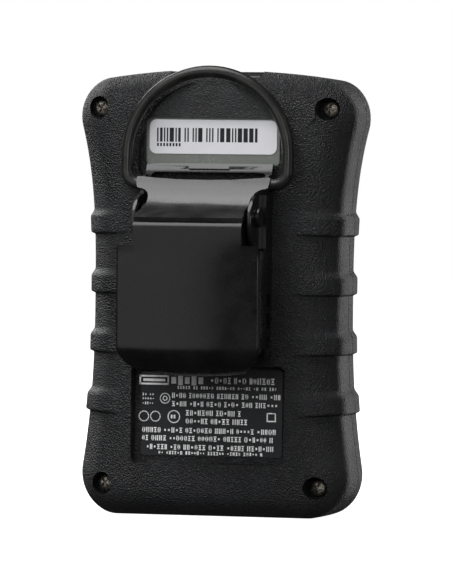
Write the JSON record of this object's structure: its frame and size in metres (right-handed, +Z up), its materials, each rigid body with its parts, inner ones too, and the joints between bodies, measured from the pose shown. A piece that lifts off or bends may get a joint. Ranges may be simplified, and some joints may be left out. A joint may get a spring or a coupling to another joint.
{
  "type": "portable gas detector",
  "caption": "Pocket gas detector: flared two-part case with grip ribs, display, gas inlet and button, sprung steel belt clip on the back and a swinging D-ring.",
  "frame": {"origin": "middle of the flat bottom of the case, on the parting plane between the two shells", "axes": "+Z up the height, +Y out of the back towards the belt clip, so the display faces -Y, and +X completes the right-handed frame"},
  "size_m": [0.0558, 0.0423, 0.0867],
  "materials": {
    "case_plastic": "fine leather grain",
    "smoked_plastic": "smooth, smoked",
    "display_window": "smooth, clear",
    "face_plastic": "satin",
    "grille_plastic": "satin",
    "button_rubber": "soft",
    "seal_rubber": "soft",
    "screw_metal": "scratched",
    "bright_steel": "plain",
    "brass": "plain",
    "clip_enamel": "satin black",
    "jaw_enamel": "semi-gloss black",
    "tab_enamel": "gloss black",
    "ring_enamel": "gloss black",
    "board_green": "solder mask",
    "glass": "smooth",
    "white_plastic": "plain",
    "buzzer_plastic": "plain",
    "led_plastic": "clear red",
    "battery_sleeve": "shrunk film",
    "filter_fabric": "porous",
    "white_label": "glossy film",
    "grey_label": "satin film"
  },
  "bodies": {
    "case": {"back_shell": "case_plastic", "front_shell": "case_plastic", "alarm_window": "smoked_plastic", "display_lens": "display_window", "face_plate": "face_plastic", "inlet_ring": "grille_plastic", "horn_grille": "grille_plastic", "case_seal": "seal_rubber", "sensor_gasket": "seal_rubber", "sensor_pad": "seal_rubber", "case_screws": "screw_metal", "board_screws": "bright_steel", "pivot_pin": "bright_steel", "torsion_spring": "bright_steel", "battery_tabs": "bright_steel", "button_switch": "bright_steel", "vibration_motor": "bright_steel", "sensor_cell": "bright_steel", "case_inserts": "brass", "clip_inserts": "brass", "clip_base": "clip_enamel", "hinge_bracket": "clip_enamel", "bracket_rivets": "clip_enamel", "clip_screws": "clip_enamel", "circuit_board": "board_green", "display_glass": "glass", "display_frame": "white_plastic", "buzzer": "buzzer_plastic", "alarm_leds": "led_plastic", "battery": "battery_sleeve", "dust_filter": "filter_fabric", "serial_label": "white_label", "info_label": "grey_label"},
    "clip_jaw": {"jaw": "jaw_enamel", "thumb_tab": "tab_enamel"},
    "hang_ring": {"d_ring": "ring_enamel"},
    "button": {"push_button": "button_rubber"}
  },
  "joints": [
    {"name": "jaw_pivot", "type": "hinge", "parent": "case", "child": "clip_jaw", "pos_m": [0, 0.0205, 0.0578], "axis": [1, 0, 0], "range_deg": [0, 20], "stiffness_Nm_per_rad": 0.06, "springref_deg": -34.38, "deforming": ["torsion_spring"]},
    {"name": "ring_swing", "type": "hinge", "parent": "case", "child": "hang_ring", "pos_m": [0, 0.0144, 0.0639], "axis": [-1, 0, 0], "range_deg": [0, 110]},
    {"name": "button_press", "type": "slide", "parent": "case", "child": "button", "axis": [0, 1, 0], "range_m": [0, 0.0008], "stiffness_N_per_m": 900, "springref_m": -0.0006}
  ]
}
